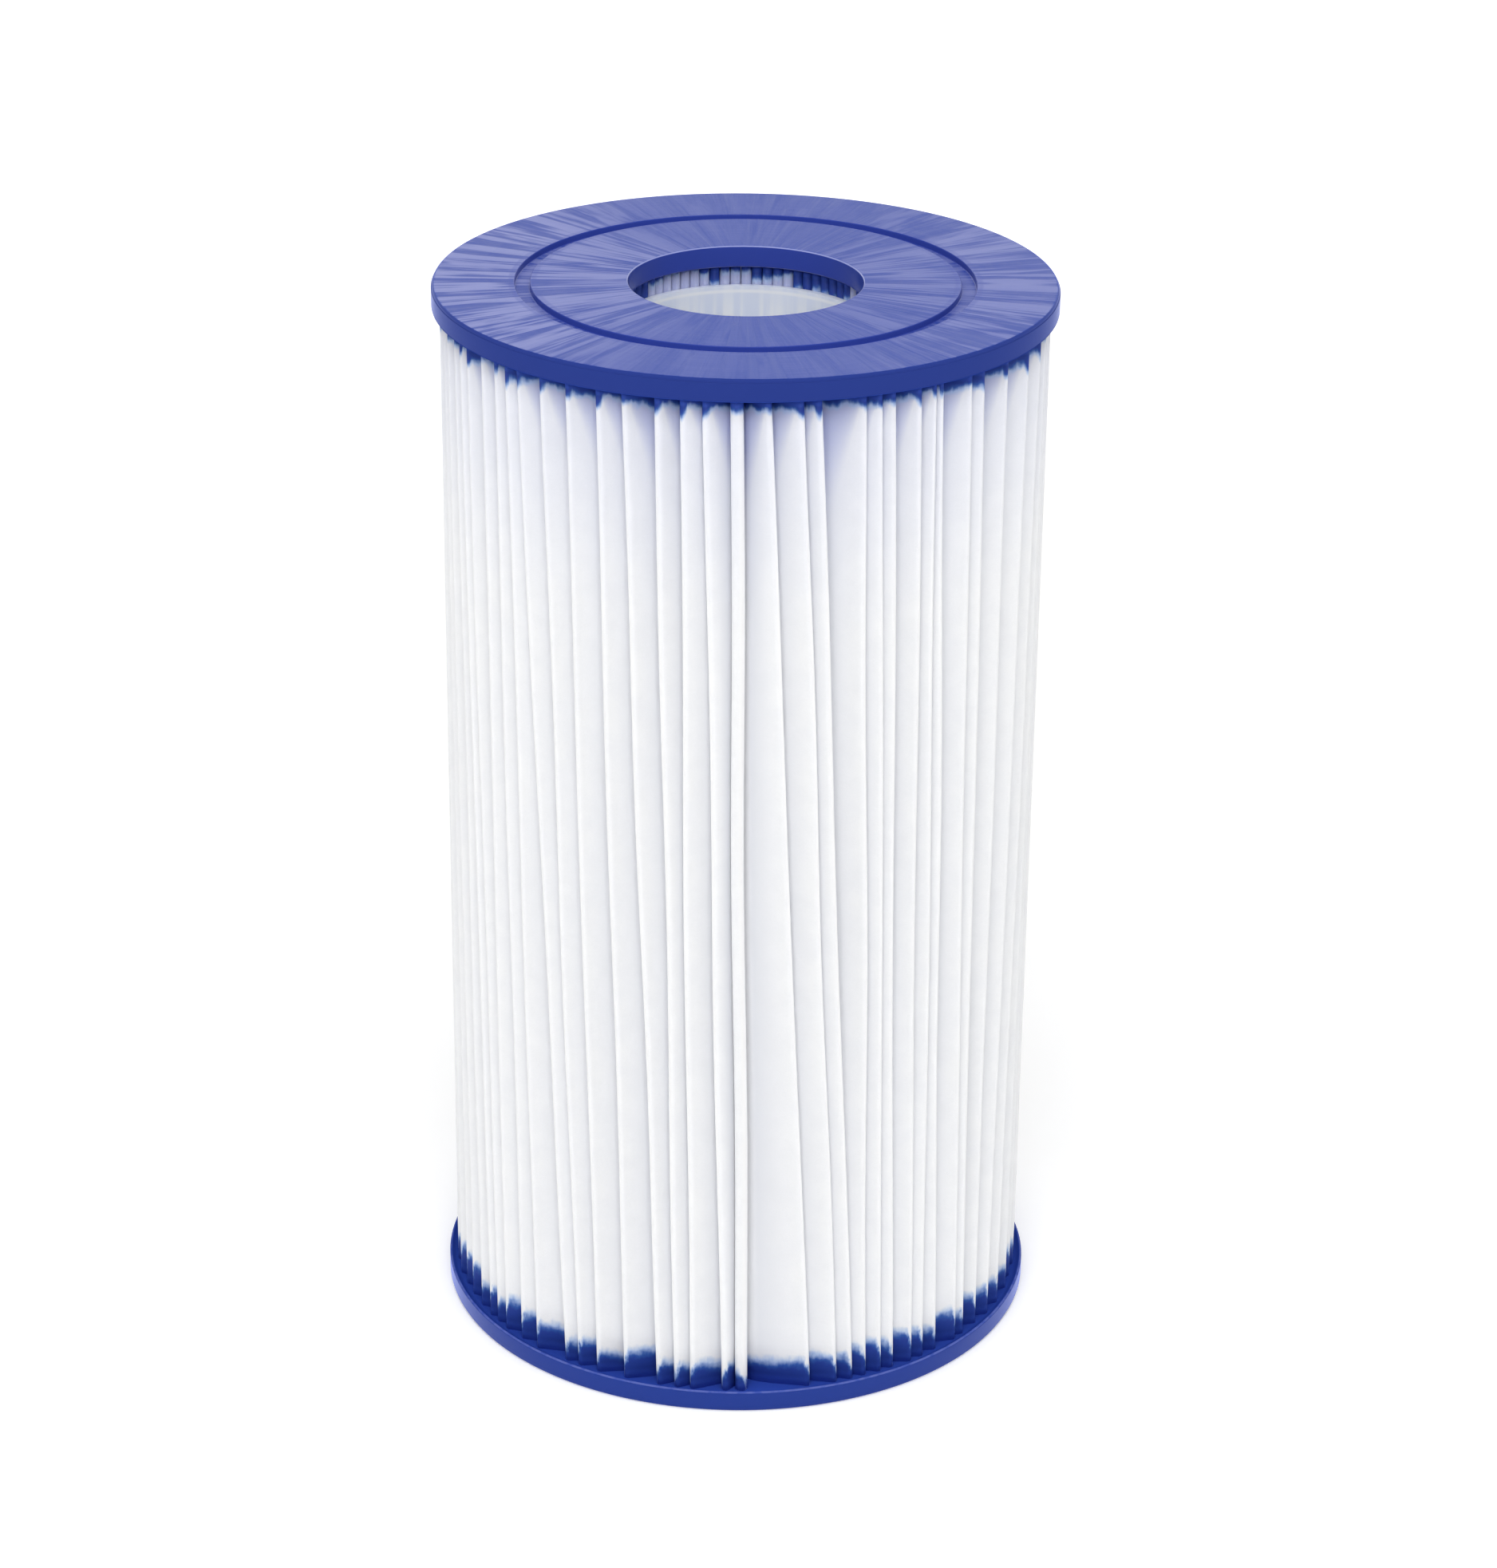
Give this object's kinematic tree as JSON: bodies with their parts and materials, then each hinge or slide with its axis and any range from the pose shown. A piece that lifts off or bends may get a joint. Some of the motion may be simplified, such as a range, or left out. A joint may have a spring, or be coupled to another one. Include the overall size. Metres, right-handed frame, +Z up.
{
  "type": "filter cartridge",
  "caption": "Round pleated water filter cartridge with cast blue end caps, a bore through each cap, white folded media and a perforated core inside.",
  "frame": {"origin": "centre of the lower end cap's outer face", "axes": "+Z up along the bore axis from the lower cap to the upper one; -Y faces the picture's camera, +X to its right"},
  "size_m": [0.142, 0.142, 0.254],
  "materials": {
    "end_cap": "satin cast polyurethane with a pale bloom",
    "media": "matt spunbonded nonwoven",
    "seam": "cloudy hot-melt adhesive",
    "core": "translucent natural polypropylene"
  },
  "bodies": {
    "root": {"bottom_end_cap": "end_cap", "top_end_cap": "end_cap", "pleated_media": "media", "media_seam": "seam", "inner_core": "core"}
  },
  "joints": []
}
